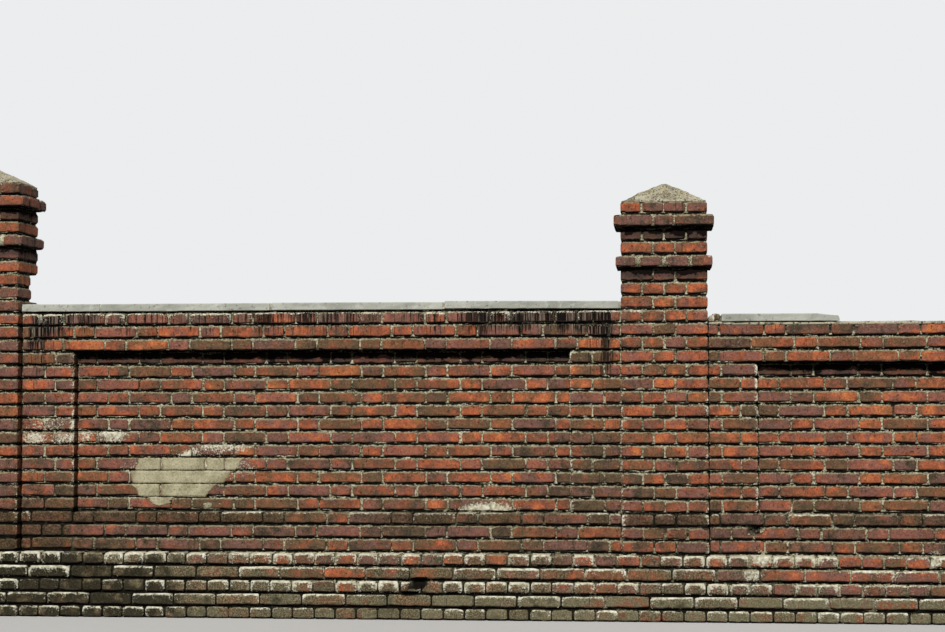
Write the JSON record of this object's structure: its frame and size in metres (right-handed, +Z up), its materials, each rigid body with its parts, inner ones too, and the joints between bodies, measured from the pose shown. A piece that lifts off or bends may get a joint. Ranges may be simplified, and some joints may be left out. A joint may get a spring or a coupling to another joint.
{
  "type": "brick garden wall",
  "caption": "Free-standing garden wall of weathered bricks in bays: recessed panels between corbelled piers on a stepped plinth, with slab coping and hipped mortar caps.",
  "frame": {"origin": "middle of the wall's length and depth, at the foot of the lowest course", "axes": "+X along the wall to the right as seen from the street, -Y towards the street, +Z up"},
  "size_m": [13.07, 0.46, 2.75],
  "materials": {
    "brick": "rough fired clay brick in lime mortar",
    "mortar": "rough sandy mortar with gravel",
    "concrete": "weathered cast concrete slab"
  },
  "bodies": {
    "root": {"plinth": "brick", "pier_1_shaft": "brick", "pier_1_lower_corbel": "brick", "pier_1_neck": "brick", "pier_1_upper_corbel": "brick", "pier_1_top_course": "brick", "pier_1_cap": "mortar", "pier_2_shaft": "brick", "pier_2_lower_corbel": "brick", "pier_2_neck": "brick", "pier_2_upper_corbel": "brick", "pier_2_top_course": "brick", "pier_2_cap": "mortar", "pier_3_shaft": "brick", "pier_3_lower_corbel": "brick", "pier_3_neck": "brick", "pier_3_upper_corbel": "brick", "pier_3_top_course": "brick", "pier_3_cap": "mortar", "pier_4_shaft": "brick", "pier_4_lower_corbel": "brick", "pier_4_neck": "brick", "pier_4_upper_corbel": "brick", "pier_4_top_course": "brick", "pier_4_cap": "mortar", "bay_1_apron": "brick", "bay_1_left_lisene": "brick", "bay_1_right_lisene": "brick", "bay_1_panel": "brick", "bay_1_frieze": "brick", "bay_1_coping": "concrete", "bay_2_apron": "brick", "bay_2_left_lisene": "brick", "bay_2_right_lisene": "brick", "bay_2_panel": "brick", "bay_2_frieze": "brick", "bay_2_coping": "concrete", "bay_3_apron": "brick", "bay_3_left_lisene": "brick", "bay_3_right_lisene": "brick", "bay_3_panel": "brick", "bay_3_frieze": "brick", "bay_3_coping": "concrete", "bay_2_mortar_bed": "mortar", "bay_2_closer": "mortar"}
  },
  "joints": []
}
